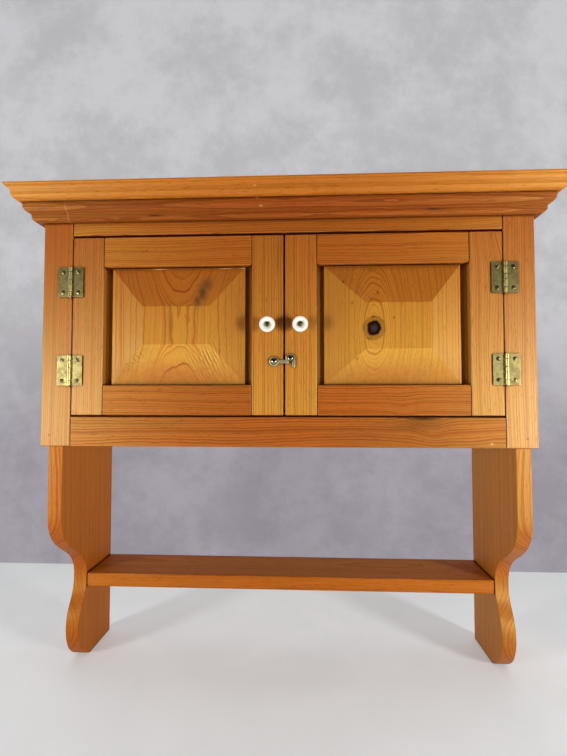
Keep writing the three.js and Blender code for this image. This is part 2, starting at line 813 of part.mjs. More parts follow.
function casePieces() {
  const shelfBack = caseDepth;
  const floorBack = panelBack - seam;
  return [
    mesh('side_left', sideBoard(doorSides.left), honeyPine),
    mesh('side_right', sideBoard(doorSides.right), honeyPine),
    mesh('lower_shelf', housedShelf(shelfSetback, shelfBack, shelfBottom, shelfTop), honeyPine),
    mesh('cupboard_floor', housedShelf(boardFront, floorBack, floorBottom, floorTop), insidePine),
    mesh('back_panel', backPanel(), insidePine),
    mesh('hanging_rail', hangingRail(), insidePine),
    mesh('face_stile_left', faceStile(doorSides.left), honeyPine),
    mesh('face_stile_right', faceStile(doorSides.right), honeyPine),
    mesh('face_rail_top', faceRail(openingTop, caseHeight - seam), honeyPine),
    mesh('face_rail_bottom', faceRail(cupboardBottom, openingBottom), honeyPine),
    mesh('top_board', topBoard(), honeyPine),
    mesh('bed_moulding_front', bedFront(), amberPine),
    mesh('bed_moulding_left', bedReturn(doorSides.left), amberPine),
    mesh('bed_moulding_right', bedReturn(doorSides.right), amberPine),
  ];
}

const latchPivotX = doorEdges(doorSides.left).meeting - latchPivotFromEdge;
const catchX = doorEdges(doorSides.right).meeting + catchFromEdge;

const cupboard = new THREE.Group();
cupboard.add(...casePieces(), ...hingePieces());
for (const [name, side] of Object.entries(doorSides)) cupboard.add(...doorPieces(name, side));
cupboard.add(mesh('latch_hook', hook(latchPivotX, catchX), agedBrass));

// The origin lies on the wall, behind the middle of the hanging rail.
cupboard.position.set(0, -caseDepth, -hangingHeight);

export default cupboard;
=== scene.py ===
# %% [markdown]
# # A small hanging cupboard in varnished pine
#
# This lesson dresses a measured cupboard: two raised-panel doors on brass butt hinges, white
# porcelain knobs, a hook latch, a moulded top, and shaped side boards that carry an open shelf.
# The measured solids come in first, and everything made here sits exactly where they are, so
# that the doors and the hook still turn on their own pins.

# %% Load the measured cupboard
import math

import bpy
from mathutils import Matrix, Vector


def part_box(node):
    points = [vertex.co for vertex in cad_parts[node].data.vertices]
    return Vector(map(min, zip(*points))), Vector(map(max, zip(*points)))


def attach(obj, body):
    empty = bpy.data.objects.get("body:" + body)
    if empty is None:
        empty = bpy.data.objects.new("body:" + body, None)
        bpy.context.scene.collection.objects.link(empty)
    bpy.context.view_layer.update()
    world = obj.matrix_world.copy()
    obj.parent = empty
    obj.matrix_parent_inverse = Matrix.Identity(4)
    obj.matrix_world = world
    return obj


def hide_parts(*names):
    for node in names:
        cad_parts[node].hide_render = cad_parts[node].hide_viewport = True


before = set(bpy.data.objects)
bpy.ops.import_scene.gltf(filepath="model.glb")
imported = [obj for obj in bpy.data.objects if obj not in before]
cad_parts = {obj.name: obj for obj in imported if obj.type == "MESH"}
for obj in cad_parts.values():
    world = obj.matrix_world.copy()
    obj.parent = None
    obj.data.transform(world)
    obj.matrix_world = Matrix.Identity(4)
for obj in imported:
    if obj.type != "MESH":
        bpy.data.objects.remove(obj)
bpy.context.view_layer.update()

MM = 0.001

# %% [markdown]
# ## Where the camera stands
#
# The picture was taken from close by, a little above the doors' middle, with a wide lens. A
# camera can be placed by eye, or solved from straight edges whose real sizes are known. The
# second way was used, so these numbers are a position on the case, two small turns and a lens.

# %% Place the camera
WALL = Vector((0, 177, 593.3)) * MM  # from the case's own corner of reference to the wall mount


def on_case(x, y, z):
    """A point given in millimetres from the face frame's front and the soles of the feet."""
    return Vector((x, y, z)) * MM - WALL


CAMERA_PLACE = on_case(28.6, -578.4, 376.8)
CAMERA_YAW, CAMERA_PITCH = -0.04867, 0.04011
LENS = 22.14

forward = Vector((
    math.sin(CAMERA_YAW) * math.cos(CAMERA_PITCH),
    math.cos(CAMERA_YAW) * math.cos(CAMERA_PITCH),
    math.sin(CAMERA_PITCH),
))
right = Vector((math.cos(CAMERA_YAW), -math.sin(CAMERA_YAW), 0))
up = right.cross(forward)

bpy.ops.object.select_all(action="DESELECT")
bpy.ops.object.camera_add(location=CAMERA_PLACE)
camera = bpy.context.object
camera.name = "camera"
camera.rotation_euler = Matrix((right, up, -forward)).transposed().to_euler()
camera.data.lens = LENS
camera.data.clip_start = 0.02
bpy.context.scene.camera = camera
bpy.context.scene.view_settings.view_transform = "Standard"
print("camera at", [round(v, 4) for v in camera.location], "lens", LENS)

# %% [markdown]
# ## Helpers for node trees
#
# A finish is a tree of nodes. Adding a node always takes the same steps, so one helper adds it,
# sets it up and joins what flows into it. The others are for the kinds of node that come up
# again and again: sums, blends, ramps, ranges and noise.


# %% Node helpers
def paint(red, green, blue):
    """A colour as it looks on a screen, 0 to 255, turned into the light values of a shader."""
    values = [v / 255 for v in (red, green, blue)]
    return tuple(v / 12.92 if v < 0.04045 else ((v + 0.055) / 1.055) ** 2.4 for v in values) + (1,)


def fill(tree, node, inputs):
    """Fills a node's inputs: another node's socket is linked, and any other value is typed in."""
    for key, value in inputs.items():
        if isinstance(value, bpy.types.NodeSocket):
            tree.links.new(value, node.inputs[key])
        else:
            node.inputs[key].default_value = value
    return node


def add(tree, kind, inputs=None, **settings):
    """Adds a node, sets it up and fills its inputs. Every kind is a kind of ShaderNode."""
    node = tree.nodes.new("ShaderNode" + kind)
    for name, value in settings.items():
        setattr(node, name, value)
    return fill(tree, node, inputs or {})


def sums(tree, operation, *values):
    """One Math node, with its values in order."""
    return add(tree, "Math", dict(enumerate(values)), operation=operation).outputs[0]


def vectors(tree, operation, *values):
    """One Vector Math node that gives a vector."""
    return add(tree, "VectorMath", dict(enumerate(values)), operation=operation).outputs[0]


def blend(tree, amount, first, second, way="MIX"):
    """Mixes two colours."""
    node = add(tree, "Mix", {0: amount, 6: first, 7: second}, data_type="RGBA")
    node.blend_type = way
    return node.outputs[2]


def wash(tree, colour, mask, amount, ink):
    """Washes an ink over a colour, as strongly as the mask and the amount say."""
    return blend(tree, sums(tree, "MULTIPLY", mask, amount), colour, ink)


def ramp(tree, value, stops):
    """Turns a value into a grey that eases between the (place, brightness) stops."""
    node = add(tree, "ValToRGB", {0: value})
    node.color_ramp.interpolation = "EASE"
    while len(node.color_ramp.elements) < len(stops):
        node.color_ramp.elements.new(0.5)
    for element, (place, grey) in zip(node.color_ramp.elements, stops):
        element.position = place
        element.color = (grey, grey, grey, 1)
    return node.outputs[0]


def spread(tree, value, low, high, first, last, **settings):
    """Stretches the range from low to high into the range from first to last."""
    inputs = {0: value, 1: low, 2: high, 3: first, 4: last}
    return add(tree, "MapRange", inputs, **settings).outputs[0]


def noise(tree, place, scale=1.0, detail=2.0, roughness=0.5, output=0):
    """A noise texture, around one half. Output 0 is its grey, and output 1 its colour."""
    inputs = {"Vector": place, "Scale": scale, "Detail": detail, "Roughness": roughness}
    return add(tree, "TexNoise", inputs).outputs[output]


def in_millimetres(tree, shift=(0, 0, 0), turn=(0, 0, 0)):
    """A piece's own coordinates in millimetres, turned and then shifted."""
    return add(tree, "Mapping", {
        "Vector": add(tree, "TexCoord").outputs["Object"],
        "Location": shift, "Rotation": turn, "Scale": (1 / MM,) * 3}).outputs[0]


def new_group(name, inputs, outputs):
    """A node group with named sockets. Returns the group, its input node and its output node."""
    group = bpy.data.node_groups.new(name, "ShaderNodeTree")
    kinds = {"value": "NodeSocketFloat", "vector": "NodeSocketVector", "colour": "NodeSocketColor"}
    for title, kind in inputs.items():
        group.interface.new_socket(title, in_out="INPUT", socket_type=kinds[kind])
    for title, kind in outputs.items():
        group.interface.new_socket(title, in_out="OUTPUT", socket_type=kinds[kind])
    return group, group.nodes.new("NodeGroupInput"), group.nodes.new("NodeGroupOutput")


def use(tree, group, inputs):
    """Places a node group in a tree."""
    return add(tree, "Group", inputs, node_tree=group)


def new_finish(name):
    """A material with an empty tree and one Principled shader. Returns all three."""
    material = bpy.data.materials.new(name)
    material.use_nodes = True
    tree = material.node_tree
    return material, tree, tree.nodes["Principled BSDF"]


# %% [markdown]
# ## The stage: a pale floor, a pale backdrop and two low lamps
#
# The cupboard stands on white cloth in front of a grey cloth. Both are flat planes here. They can
# be seen from their front only, so that a camera behind or below still sees the cupboard, and the
# grey one lets light through to the cupboard's back. The camera, and brass or varnish that mirrors
# the cloths, see them a little paler than the lamps alone would make them. The lamps stand low, to
# the left and the right of the camera: each knob and hinge throws a short shadow to both sides,
# and the shelf's top gets very little light. The sky is brightest behind the cupboard and
# overhead, and nearly dark on the camera's side.


# %% Floor and backdrop
def one_sided(name, dark, pale, lit, lift, low=None):
    """Matt cloth, a little mottled, that is clear when it is looked at from behind.

    lit is how much lamplight it sends back, lift is its own glow, low its tint near the floor.
    """
    material, tree, shader = new_finish(name)
    where = add(tree, "TexCoord").outputs["Object"]
    mottled = ramp(tree, noise(tree, where, 6.0, 8.0, 0.72), [(0.36, 0.0), (0.64, 1.0)])
    colour = blend(tree, mottled, dark, pale)
    if low:
        height = add(tree, "SeparateXYZ", {0: where}).outputs["Z"]
        shade = spread(tree, height, 0.0, -0.35, 0.0, 1.0)
        colour = blend(tree, shade, colour, blend(tree, 1.0, colour, low, "MULTIPLY"))
    fill(tree, shader, {
        "Base Color": blend(tree, 1.0, colour, (lit, lit, lit, 1), "MULTIPLY"),
        "Roughness": 0.9, "Specular IOR Level": 0.1})
    path = add(tree, "LightPath").outputs
    mirrored = sums(tree, "MAXIMUM", path["Is Glossy Ray"], path["Is Transmission Ray"])
    seen = sums(tree, "MAXIMUM", path["Is Camera Ray"], mirrored)
    strength = sums(tree, "MULTIPLY", seen, lift)
    glow = add(tree, "Emission", {"Color": colour, "Strength": strength})
    lifted = add(tree, "AddShader", {0: shader.outputs[0], 1: glow.outputs[0]})
    clear = add(tree, "BsdfTransparent")
    behind = add(tree, "NewGeometry").outputs["Backfacing"]
    mixed = add(tree, "MixShader", {0: behind, 1: lifted.outputs[0], 2: clear.outputs[0]})
    fill(tree, tree.nodes["Material Output"], {"Surface": mixed.outputs[0]})
    return material


def made(name):
    """Names the piece that was just added, and moves its place, turn and size into its mesh."""
    piece = bpy.context.object
    piece.name = name
    bpy.ops.object.transform_apply(location=True, rotation=True, scale=True)
    return piece


def stage_plane(name, place, turn, material):
    """A large flat cloth for the floor or the backdrop, and no part of the cupboard."""
    bpy.ops.object.select_all(action="DESELECT")
    bpy.ops.mesh.primitive_plane_add(size=CLOTH, location=place, rotation=turn)
    plane = made(name)
    plane.data.materials.append(material)
    return plane


CLOTH = 6  # metres along a side
FLOOR_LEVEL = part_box("side_left")[0].z - 0.2 * MM
BACKDROP = on_case(0, 462, 0).y
white_cloth = one_sided("white floor", paint(228, 231, 233), paint(233, 236, 238), 1.0, 0.25)
grey_cloth = one_sided("grey backdrop", paint(188, 187, 190), paint(206, 205, 209), 0.15, 0.85,
                       low=paint(206, 200, 208))
stage_plane("floor", (0, BACKDROP - CLOTH / 2, FLOOR_LEVEL), (0, 0, 0), white_cloth)
backdrop = stage_plane("backdrop", (0, BACKDROP, FLOOR_LEVEL + CLOTH / 2), (math.radians(90), 0, 0),
                       grey_cloth)
backdrop.visible_shadow = False
backdrop.visible_diffuse = False
print("floor at", round(FLOOR_LEVEL, 4), "backdrop at", round(BACKDROP, 4))

# %% Lamps and sky
LAMP_SIZE, LAMP_TINT = (0.2, 0.35), (1.0, 0.985, 0.965)


def lamp(name, place, power):
    """A small soft lamp that faces the doors. Its power is in watts."""
    bpy.ops.object.light_add(type="AREA", location=place)
    light = bpy.context.object
    light.name = name
    light.rotation_euler = (on_case(0, 0, 400) - place).to_track_quat("-Z", "Y").to_euler()
    light.data.shape = "RECTANGLE"
    light.data.size, light.data.size_y = LAMP_SIZE
    light.data.energy = power
    light.data.color = LAMP_TINT


lamp("lamp left", on_case(-1000, -800, 300), 10.2)
lamp("lamp right", on_case(1040, -800, 300), 14.1)

world = bpy.data.worlds.new("studio")
bpy.context.scene.world = world
world.use_nodes = True
sky = world.node_tree
towards = add(sky, "SeparateXYZ", {0: add(sky, "TexCoord").outputs["Generated"]})
behind = sums(sky, "MULTIPLY_ADD", towards.outputs["Y"], 0.5, 0.5)
brightness = ramp(sky, behind, [(0.0, 0.02), (0.5, 0.045), (0.75, 0.38), (1.0, 0.7)])
overhead = ramp(sky, towards.outputs["Z"], [(0.6, 0.0), (0.95, 0.42)])
brightness = blend(sky, 1.0, brightness, overhead, "ADD")
fill(sky, sky.nodes["Background"], {"Color": brightness, "Strength": 1.0})

# %% [markdown]
# ## How pine grows
#
# Pine grain isn't a picture glued on a board. A tree grows a ring each year, pale in spring and
# dark in late summer, and a board is a slice through those rings. So the finish is a solid: the
# distance from the tree's heart gives the ring, and a sawn bevel shows its arches by itself. Each
# board says where its heart lay, how wide the rings are and which way the grain runs.
#
# All places inside the group are in millimetres: X across the board, Y into it, Z along the grain.
# A noise that is stretched along Z makes the fibres, the flecks and the cloudy streaks.


# %% The rings and fibres of pine
pine_rings, given, gives = new_group(
    "pine rings",
    {"Place": "vector", "Ring width": "value", "Late share": "value", "Wander": "value",
     "Swirl": "value"},
    {"Late wood": "value", "Fibre": "value", "Fleck": "value", "Cloud": "value"},
)
t = pine_rings
place = given.outputs["Place"]


def stretched(across, along, **settings):
    """A noise in the board, with its grain across and along the fibres."""
    return noise(t, vectors(t, "MULTIPLY", place, (across, across, along)), **settings)


drift = vectors(t, "SUBTRACT", stretched(0.016, 0.0045, detail=1.5, output=1), (0.5, 0.5, 0.5))
drift = add(t, "VectorMath", {0: drift, "Scale": given.outputs["Wander"]}, operation="SCALE")
moved = add(t, "SeparateXYZ", {0: vectors(t, "ADD", place, drift.outputs[0])})
squares = [sums(t, "MULTIPLY", moved.outputs[axis], moved.outputs[axis]) for axis in ("X", "Y")]
heart = sums(t, "SQRT", sums(t, "ADD", *squares))
heart = sums(t, "ADD", heart, given.outputs["Swirl"])
heart = sums(t, "MULTIPLY_ADD", stretched(0.1, 0.035, detail=1.5), 1.4, heart)
years = sums(t, "DIVIDE", heart, given.outputs["Ring width"])
uneven = add(t, "TexNoise", {"W": sums(t, "MULTIPLY", years, 0.35), "Detail": 1.0},
             noise_dimensions="1D").outputs[0]
years = sums(t, "MULTIPLY_ADD", uneven, 1.2, years)
season = sums(t, "FRACT", years)
share = given.outputs["Late share"]
late = spread(t, season, sums(t, "SUBTRACT", 1.0, share), sums(t, "MULTIPLY_ADD", share, -0.25, 1.0),
              0.0, 1.0, interpolation_type="SMOOTHSTEP")
strong = add(t, "TexWhiteNoise", {"W": sums(t, "FLOOR", years)}, noise_dimensions="1D")
late = sums(t, "MULTIPLY", late, sums(t, "MULTIPLY_ADD", strong.outputs[0], 0.5, 0.5))
late = sums(t, "MAXIMUM", late, sums(t, "MULTIPLY", season, 0.25))
cloud = stretched(0.02, 0.006, detail=2.5)
streak = stretched(0.16, 0.004, detail=2.0, roughness=0.6)
fill(t, gives, {
    "Late wood": late,
    "Fibre": stretched(1.1, 0.022, detail=3.0, roughness=0.6),
    "Fleck": ramp(t, stretched(0.9, 0.1, detail=1.0), [(0.0, 0.0), (0.63, 0.0), (0.72, 1.0)]),
    "Cloud": sums(t, "MULTIPLY_ADD", sums(t, "SUBTRACT", streak, 0.5), 0.9, cloud),
})
print("pine rings:", len(t.nodes), "nodes")

# %% [markdown]
# ## Spots on a board
#
# Knots, smudges and filled nail holes are all soft spots at one place. This group gives a soft
# round mask, one in the middle and fading outwards. Pushed into the rings it bends the grain
# round a knot, and used as a colour mask it darkens a smudge. The distance that it also gives
# paints a knot, ring by ring.


# %% A soft spot
soft_spot, given, gives = new_group(
    "soft spot", {"Place": "vector", "Centre": "vector", "Size": "vector", "Ragged": "value"},
    {"Mask": "value", "Distance": "value"})
t = soft_spot
away = vectors(t, "SUBTRACT", given.outputs["Place"], given.outputs["Centre"])
away = vectors(t, "DIVIDE", away, given.outputs["Size"])
length = add(t, "VectorMath", {0: away}, operation="LENGTH").outputs["Value"]
ragged = sums(t, "SUBTRACT", noise(t, given.outputs["Place"], 0.16, 2.0), 0.5)
length = sums(t, "MAXIMUM", sums(t, "MULTIPLY_ADD", ragged, given.outputs["Ragged"], length), 0.0)
square = sums(t, "MULTIPLY", length, length)
fill(t, gives, {"Distance": length, "Mask": sums(t, "EXPONENT", sums(t, "MULTIPLY", square, -1.0))})

# %% [markdown]
# ## Varnish over the grain
#
# The varnish has gone amber, more in some places than in others. Late wood is darker and stands
# a trace proud, because the soft spring wood shrinks more. Firmness says how much of its shine a
# board's late wood loses: the less it loses, the softer its rings look. Rubbed corners are paler,
# partly from wear and partly as a painted highlight where a rounded edge catches the lamps.
# Corners between two boards and other hollows are darker, partly dirt where cloths don't reach and
# partly painted shade.

# %% Varnish, rubbed and lit corners, and painted corner shade with dirt
varnish, given, gives = new_group(
    "amber varnish",
    {"Late wood": "value", "Fibre": "value", "Fleck": "value", "Cloud": "value",
     "Early colour": "colour", "Late colour": "colour", "Stain colour": "colour", "Stain": "value",
     "Firmness": "value"},
    {"Color": "colour", "Roughness": "value", "Dense": "value", "Height": "value"},
)
t = varnish
late, fibre, fleck = (given.outputs[name] for name in ("Late wood", "Fibre", "Fleck"))
base = blend(t, late, given.outputs["Early colour"], given.outputs["Late colour"])
cloudy = ramp(t, given.outputs["Cloud"], [(0.3, 0.0), (0.72, 1.0)])
base = wash(t, base, cloudy, given.outputs["Stain"], given.outputs["Stain colour"])
shade = spread(t, fibre, 0.25, 0.75, 0.78, 1.2)
shade = add(t, "CombineColor", {0: shade, 1: shade, 2: shade}).outputs[0]
base = blend(t, 1.0, base, shade, "MULTIPLY")
dense = sums(t, "MAXIMUM", sums(t, "MULTIPLY", late, given.outputs["Firmness"]),
             sums(t, "MULTIPLY", fleck, 0.35))
fill(t, gives, {
    "Color": wash(t, base, fleck, 0.42, paint(110, 32, 6)),
    "Roughness": sums(t, "MULTIPLY_ADD", late, 0.12, spread(t, fibre, 0.2, 0.8, 0.58, 0.64)),
    "Dense": dense,
    "Height": sums(t, "MULTIPLY_ADD", late, 0.35, fibre),
})

# Rounded corners turn paler: partly wear, partly a painted highlight where an edge catches the lamps.
rubbed_and_lit_corner, given, gives = new_group("rubbed and lit corner", {"Place": "vector"}, {"Mask": "value"})
t = rubbed_and_lit_corner
rounded = add(t, "Bevel", {"Radius": 1.4 * MM}, samples=6).outputs[0]
flat = add(t, "NewGeometry").outputs["Normal"]
facing = add(t, "VectorMath", {0: rounded, 1: flat}, operation="DOT_PRODUCT").outputs["Value"]
edge = spread(t, facing, 0.985, 0.86, 0.0, 1.0)
patchy = ramp(t, noise(t, given.outputs["Place"], 0.05, 3.0), [(0.32, 0.15), (0.62, 1.0)])
fill(t, gives, {"Mask": sums(t, "MULTIPLY", edge, patchy)})

# Shut-in places darken: painted shade in corners and hollows, together with dirt.
shade_and_grime, given, gives = new_group("corner shade and grime", {"Reach": "value"}, {"Mask": "value"})
t = shade_and_grime
shut_in = add(t, "AmbientOcclusion", {"Distance": given.outputs["Reach"]}, samples=6)
fill(t, gives, {"Mask": spread(t, shut_in.outputs["AO"], 0.88, 0.5, 0.0, 1.0)})
print("finishing groups:", [g.name for g in bpy.data.node_groups])

# %% [markdown]
# ## One finish for each board
#
# No two boards come from the same place in the tree, so each gets a finish of its own, made by
# one function from the shared groups. Its Mapping node turns the board so that the grain runs
# along Z, and puts the tree's heart where it lay.
#
# Wood shines through its fibres, which are like very thin rods side by side: each throws the
# light out in a fan across itself. So a stile, whose fibres stand, is bright where the lamps'
# height is right, and a rail, whose fibres lie, is bright towards its ends. Anisotropic gloss
# does this when its tangent crosses the fibres. The light has been through amber varnish, so the
# gloss has its tint, and the clear coat above it shines white. Late wood, knots, dirt and the
# painted corner shade are too dense to glow like that. A share of Metallic there gives the gloss
# the wood's own dark colour.
#
# Smudges and tool marks lie in the wood, and the painted corner shade and dirt lie over them.
# Rubbed corners, paler partly as a painted highlight, pale chips and painted glints cut through
# everything.

# %% Grain directions and colours
GRAIN = {
    "upright": Matrix(((1, 0, 0), (0, 1, 0), (0, 0, 1))),
    "level": Matrix(((0, 0, 1), (0, 1, 0), (-1, 0, 0))),
    "side": Matrix(((0, -1, 0), (1, 0, 0), (0, 0, 1))),
    "flat": Matrix(((0, 1, 0), (0, 0, 1), (1, 0, 0))),
    "return": Matrix(((0, 0, 1), (1, 0, 0), (0, 1, 0))),
}
# The colours of early wood, late wood and stain in each tone of board.
HONEY = paint(158, 54, 6), paint(136, 33, 5), paint(136, 52, 6)
GOLD = paint(162, 59, 7), paint(142, 39, 6), paint(144, 57, 7)
STRAW = paint(168, 73, 8), paint(146, 46, 6), paint(154, 65, 8)
PEACH = paint(168, 68, 8), paint(148, 42, 8), paint(153, 59, 8)
EMBER = paint(170, 62, 7), paint(138, 32, 5), paint(140, 50, 5)
TEA = paint(172, 79, 13), paint(142, 56, 9), paint(154, 68, 12)
AMBER = paint(179, 92, 21), paint(158, 76, 17), paint(164, 80, 18)
RUSSET = paint(146, 57, 14), paint(112, 31, 7), paint(118, 37, 8)
BARE = paint(196, 148, 88), paint(158, 108, 56), paint(154, 102, 52)
# The pale ink serves both for chips and for painted glints.
INKS = {"soot": paint(52, 22, 14), "violet": paint(82, 42, 42), "rust": paint(96, 36, 10),
        "tan": paint(136, 63, 37), "pale": paint(240, 190, 122)}
print("inks:", sorted(INKS))


# %% Marks, knots, tool marks and painted glints
def mark(x, z, wide, tall, amount=0.8, ink="soot", y=2):
    """A smudge, nail hole, chip, band of tone or painted glint on the front: where it is, its half sizes
    in mm, its strength.
    """
    return on_case(x, y, z), (wide, 12, tall), amount, INKS[ink]


def bend(x, z, radius, lift, shown=False):
    """A place that the rings swerve round. The knot itself is shown, or lies outside the board."""
    return {"at": on_case(x, 6, z), "radius": radius, "lift": lift, "shown": shown}


def knot_colour(tree, colour, dense, distance, patches):
    """A nearly black core, greyer in the middle, a reddish collar and a thin dark line of bark."""
    half = sums(tree, "MULTIPLY", distance, 0.5)
    collar = ramp(tree, half, [(0.0, 1.0), (0.48, 1.0), (0.6, 0.0)])
    bark = ramp(tree, half, [(0.43, 0.0), (0.51, 1.0), (0.59, 0.0)])
    bark = sums(tree, "MULTIPLY", bark, ramp(tree, patches, [(0.38, 0.15), (0.6, 0.9)]))
    core = ramp(tree, half, [(0.0, 1.0), (0.29, 1.0), (0.43, 0.0)])
    middle = ramp(tree, half, [(0.0, 1.0), (0.08, 1.0), (0.24, 0.0)])
    for part in (core, sums(tree, "MULTIPLY", collar, 0.5), bark):
        dense = sums(tree, "MAXIMUM", dense, part)
    colour = wash(tree, colour, collar, 0.55, paint(124, 47, 12))
    for part, ink in ((bark, paint(62, 20, 8)), (core, paint(36, 14, 12)), (middle, paint(60, 50, 52))):
        colour = blend(tree, part, colour, ink)
    return colour, dense


def stroke_patch(tree, where, centre, half_long, half_wide, lean, gap):
    """A patch of short strokes, side by side along a line that leans, where a blade tore the wood. In
    pale ink they are painted glints on that torn grain.
    """
    from_centre = vectors(tree, "SUBTRACT", where, centre)
    along = add(tree, "VectorRotate", {0: from_centre, "Angle": math.radians(lean)},
                rotation_type="Y_AXIS").outputs[0]
    strokes = add(tree, "TexWave", {
        "Vector": along, "Scale": 0.314 / gap, "Distortion": 3.0, "Detail": 2.0,
        "Detail Scale": 1.5}).outputs["Fac"]
    patch = use(tree, soft_spot, {"Place": along, "Centre": (0, 0, 0), "Ragged": 0.8,
                                  "Size": (half_long, 12, half_wide)}).outputs["Mask"]
    broken = noise(tree, vectors(tree, "MULTIPLY", along, (0.5, 0.5, 0.1)), detail=1.0)
    patch = sums(tree, "MULTIPLY", ramp(tree, broken, [(0.4, 0.0), (0.56, 1.0)]), patch)
    return sums(tree, "MULTIPLY", ramp(tree, strokes, [(0.6, 0.0), (0.95, 1.0)]), patch)


def across_fibres(tree, turn):
    """The direction in the surface that crosses the fibres, in which their shine spreads out."""
    fibres = turn.transposed() @ Vector((0.03, -0.02, 1))
    fibres = add(tree, "VectorTransform", {0: fibres}, vector_type="VECTOR",
                 convert_from="OBJECT", convert_to="WORLD").outputs[0]
    return vectors(tree, "CROSS_PRODUCT", add(tree, "NewGeometry").outputs["Normal"], fibres)


# %% The finish of one board
STARTS = iter(range(300, 24300, 1000))  # where each board begins along the trunk, in mm
THROUGH = 1e4  # a knot goes right through its board, so this is far more than any board's mm


def pine(node, grain="upright", heart=(0, 90), ring=2.4, wander=8, tones=HONEY, stain=0.5,
         share=0.42, shine=0.74, coat=0.2, firm=0.68, knots=(), marks=(), torn_grain_and_glints=(), reach=5,
         shade_and_soil=1.0):
    """The finish of one board. heart is where the tree's heart lay from the board's middle, in mm.

    ring is a year's growth and reach how far the painted corner shade and dirt spread out of a
    corner, in mm. share is the late wood's part of a ring, and firm, shine, coat and shade_and_soil
    are strengths.
    """
    low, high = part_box(node)
    turn = GRAIN[grain]
    shift = Vector((-heart[0], -heart[1], next(STARTS))) - turn @ ((low + high) / 2 / MM)
    material, tree, shader = new_finish("pine " + node)
    where = in_millimetres(tree, shift, turn.to_euler())

    def spot(point, size, ragged=0.0):
        centre = turn @ (point / MM) + shift
        size = [abs(v) for v in turn @ Vector(size)]
        return use(tree, soft_spot, {"Place": where, "Centre": centre, "Size": size, "Ragged": ragged})

    def spotted(at, size, amount):
        return sums(tree, "MULTIPLY", spot(at, size, 0.7).outputs["Mask"], amount)

    swirl = 0.0
    for knot in knots:
        around = spot(knot["at"], (knot["radius"] * 1.7, THROUGH, knot["radius"] * 3.0))
        swirl = sums(tree, "MULTIPLY_ADD", around.outputs["Mask"], -knot["lift"], swirl)
    rings = use(tree, pine_rings, {"Place": where, "Ring width": ring, "Late share": share,
                                  "Wander": wander, "Swirl": swirl})
    wood = use(tree, varnish, {
        **{name: rings.outputs[name] for name in ("Late wood", "Fibre", "Fleck", "Cloud")},
        "Early colour": tones[0], "Late colour": tones[1], "Stain colour": tones[2],
        "Stain": stain, "Firmness": firm})
    colour, dense = wood.outputs["Color"], wood.outputs["Dense"]
    for knot in knots:
        if knot["shown"]:
            ring_by_ring = spot(knot["at"], (knot["radius"], THROUGH, knot["radius"] * 1.1), 0.34)
            colour, dense = knot_colour(tree, colour, dense, ring_by_ring.outputs["Distance"],
                                        noise(tree, where, 0.07, 1.0))
    chips_and_glints = [mark for mark in marks if mark[3] == INKS["pale"]]
    for at, size, amount, ink in (mark for mark in marks if mark not in chips_and_glints):
        there = spotted(at, size, amount)
        colour = blend(tree, there, colour, ink)
        dense = sums(tree, "MAXIMUM", dense, there)
    for x, z, half_long, half_wide, lean, gap, amount, ink in torn_grain_and_glints:
        centre = turn @ (on_case(x, 4, z) / MM) + shift
        strokes = stroke_patch(tree, where, centre, half_long, half_wide, lean, gap)
        strokes = sums(tree, "MULTIPLY", strokes, amount)
        colour = blend(tree, strokes, colour, INKS[ink])
        # Pale strokes are painted glints, so they keep the gloss.
        if ink != "pale":
            dense = sums(tree, "MAXIMUM", dense, strokes)
    # Painted shade with dirt: corners and hollows turn a deep red-brown, as far as reach says.
    shade_and_dirt = sums(tree, "MULTIPLY", use(tree, shade_and_grime, {"Reach": reach * MM}).outputs["Mask"], shade_and_soil)
    colour = wash(tree, colour, shade_and_dirt, 0.95, paint(80, 19, 4))
    # Rounded corners turn paler, partly wear and partly a painted highlight, less so under the painted
    # shade.
    wear_and_highlight = use(tree, rubbed_and_lit_corner, {"Place": where}).outputs["Mask"]
    edge_lightening = sums(tree, "MULTIPLY_ADD", shade_and_dirt, -0.3, 0.5)
    colour = wash(tree, colour, wear_and_highlight, edge_lightening, paint(218, 152, 74))
    dense = sums(tree, "MAXIMUM", dense, shade_and_dirt)
    # Pale chips, and painted glints where an edge catches the lamps, lie over everything.
    for at, size, amount, ink in chips_and_glints:
        there = spotted(at, size, amount)
        colour = blend(tree, there, colour, ink)
        dense = sums(tree, "MULTIPLY", dense, sums(tree, "SUBTRACT", 1.0, there))
    bumps = add(tree, "Bump", {
        "Height": wood.outputs["Height"], "Strength": 0.3, "Distance": 0.3 * MM})
    fill(tree, shader, {
        "Base Color": colour, "Metallic": dense, "Roughness": wood.outputs["Roughness"],
        "Normal": bumps.outputs[0], "Tangent": across_fibres(tree, turn), "Anisotropic": 0.62,
        "IOR": 2.13, "Specular IOR Level": shine,
        "Specular Tint": paint(255, 238, 98) if coat else (1, 1, 1, 1),
        "Coat Weight": spread(tree, dense, 0.0, 1.0, coat, 0.0), "Coat Roughness": 0.39,
        "Coat IOR": 1.7})
    return material


# %% [markdown]
# ## Softening the boards
#
# The measured boards have planed corners, as if they left the saw yesterday. Real corners are
# rounded by hands and cloths. A copy of each board is merged and cleaned, and a bevel rolls its
# corners over. The measured solid itself is left alone: it stays for weight and contact.


# %% Round over a copy of a measured piece
def only(piece):
    """Makes one object the only selected and the active one."""
    bpy.ops.object.select_all(action="DESELECT")
    piece.select_set(True)
    bpy.context.view_layer.objects.active = piece


def shaped(piece, kind, **settings):
    """Shapes a piece with one modifier, which is applied at once."""
    only(piece)
    modifier = piece.modifiers.new(kind.lower(), kind)
    for name, value in settings.items():
        setattr(modifier, name, value)
    bpy.ops.object.modifier_apply(modifier=modifier.name)


def rolled(piece, width, segments, least):
    """Rolls over the corners that are sharper than the least angle, in degrees. width is in mm."""
    shaped(piece, "BEVEL", width=width * MM, segments=segments, limit_method="ANGLE",
           angle_limit=math.radians(least))


